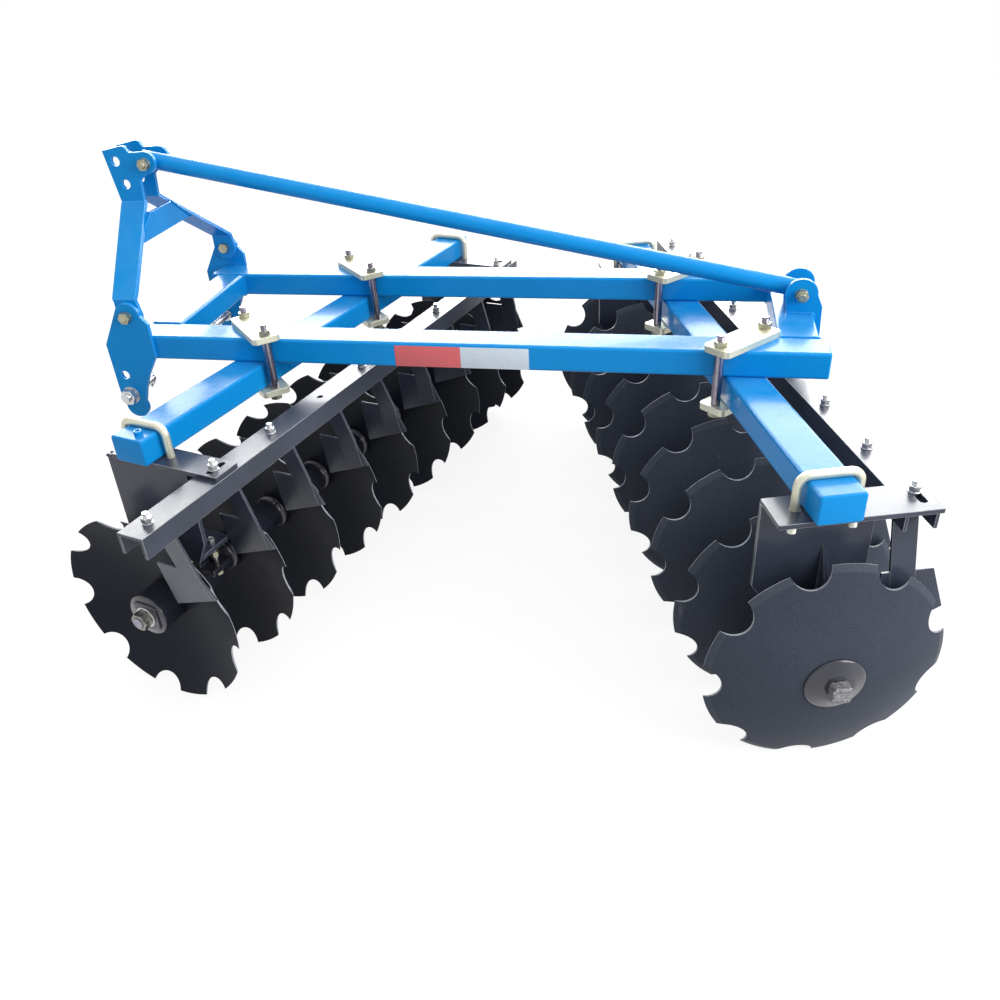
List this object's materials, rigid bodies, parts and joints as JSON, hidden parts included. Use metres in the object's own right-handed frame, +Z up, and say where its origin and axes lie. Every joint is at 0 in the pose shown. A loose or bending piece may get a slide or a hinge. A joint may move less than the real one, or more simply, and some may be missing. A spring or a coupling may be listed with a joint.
{
  "type": "disc harrow",
  "caption": "Mounted offset disc harrow: two gangs of notched discs under a tube frame with a three-point mast, scrapers and a sloping brace.",
  "frame": {"origin": "on the ground under the middle of the whole machine's box", "axes": "+X forward to the tractor, +Y to the machine's left, +Z up"},
  "size_m": [2.2662, 2.1836, 1.29],
  "materials": {
    "blue_paint": "gloss",
    "yellow_zinc": "satin",
    "bright_steel": "satin",
    "black_cast_iron": "gloss",
    "black_paint": "gloss",
    "disc_steel": "gloss"
  },
  "bodies": {
    "frame": {"left_frame_beam": "blue_paint", "right_frame_beam": "blue_paint", "front_cross_tube": "blue_paint", "rear_cross_tube": "blue_paint", "tube_end_caps": "blue_paint", "left_hitch_plate": "blue_paint", "right_hitch_plate": "blue_paint", "left_mast_leg": "blue_paint", "right_mast_leg": "blue_paint", "mast_cross_plate": "blue_paint", "brace_pipe": "blue_paint", "brace_bracket": "blue_paint", "front_gang_beam": "blue_paint", "rear_gang_beam": "blue_paint", "clamp_plates": "yellow_zinc", "u_bolts": "yellow_zinc", "clamp_bolts": "bright_steel", "brace_bolts": "bright_steel", "mast_foot_bolts": "bright_steel", "left_hitch_pin": "bright_steel", "right_hitch_pin": "bright_steel", "bearing_bolts": "bright_steel", "front_bearings": "black_cast_iron", "rear_bearings": "black_cast_iron", "front_cross_plates": "black_paint", "front_scraper_channel": "black_paint", "front_scrapers": "black_paint", "front_hangers": "black_paint", "rear_cross_plates": "black_paint", "rear_scraper_channel": "black_paint", "rear_scrapers": "black_paint", "rear_hangers": "black_paint"},
    "front_gang": {"front_axle": "bright_steel", "front_axle_nut": "bright_steel", "front_spools": "black_cast_iron", "front_end_washers": "black_cast_iron", "front_disc_1": "disc_steel", "front_disc_2": "disc_steel", "front_disc_3": "disc_steel", "front_disc_4": "disc_steel", "front_disc_5": "disc_steel", "front_disc_6": "disc_steel", "front_disc_7": "disc_steel", "front_disc_8": "disc_steel", "front_disc_9": "disc_steel"},
    "rear_gang": {"rear_axle": "bright_steel", "rear_axle_nut": "bright_steel", "rear_spools": "black_cast_iron", "rear_end_washers": "black_cast_iron", "rear_disc_1": "disc_steel", "rear_disc_2": "disc_steel", "rear_disc_3": "disc_steel", "rear_disc_4": "disc_steel", "rear_disc_5": "disc_steel", "rear_disc_6": "disc_steel", "rear_disc_7": "disc_steel", "rear_disc_8": "disc_steel", "rear_disc_9": "disc_steel"}
  },
  "joints": [
    {"name": "front_gang_spin", "type": "hinge", "parent": "frame", "child": "front_gang", "pos_m": [0.585, 0.03218, 0.28], "axis": [0.2504, 0.9681, 0], "continuous": true},
    {"name": "rear_gang_spin", "type": "hinge", "parent": "frame", "child": "rear_gang", "pos_m": [-0.61207, 0.02148, 0.28], "axis": [-0.2974, 0.9548, 0], "continuous": true}
  ]
}
